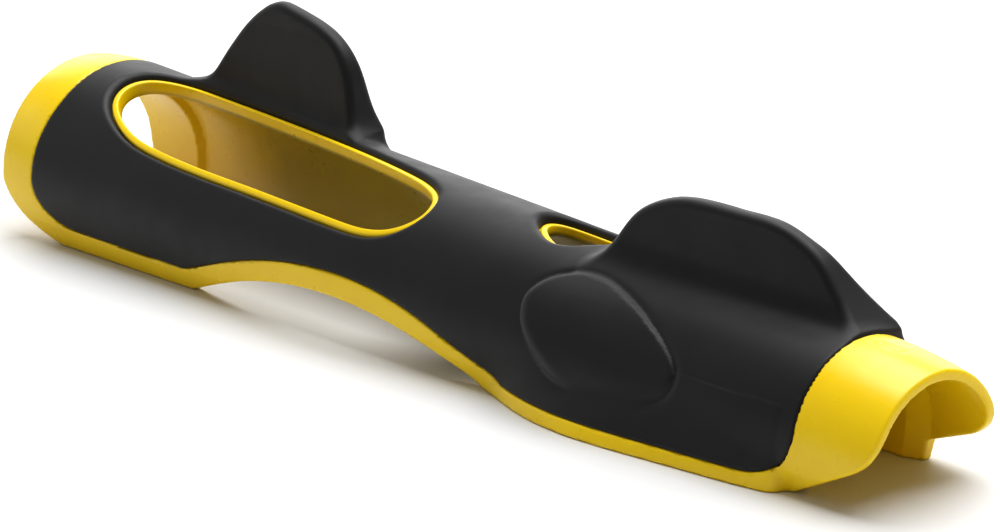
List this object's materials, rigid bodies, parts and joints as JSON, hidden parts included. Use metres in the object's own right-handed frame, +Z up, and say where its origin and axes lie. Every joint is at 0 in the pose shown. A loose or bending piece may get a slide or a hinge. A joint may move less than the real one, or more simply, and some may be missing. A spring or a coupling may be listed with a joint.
{
  "type": "golf grip training aid",
  "caption": "Clip-on hand-position trainer for a golf club grip: rigid tapered channel shell with a soft finned overmould, finger rest and thumb window.",
  "frame": {"origin": "centre of the club channel at the butt rim, on the club axis", "axes": "+X along the club from the butt cap towards the head, +Z up away from the feet, -Y the side of the finger rest; the club axis falls 1.2 degrees towards +X"},
  "size_m": [0.1846, 0.0378, 0.042],
  "materials": {
    "shell_plastic": "satin moulded",
    "soft_rubber": "matte soft touch"
  },
  "bodies": {
    "root": {"clip_shell": "shell_plastic", "grip_overmould": "soft_rubber"}
  },
  "joints": []
}
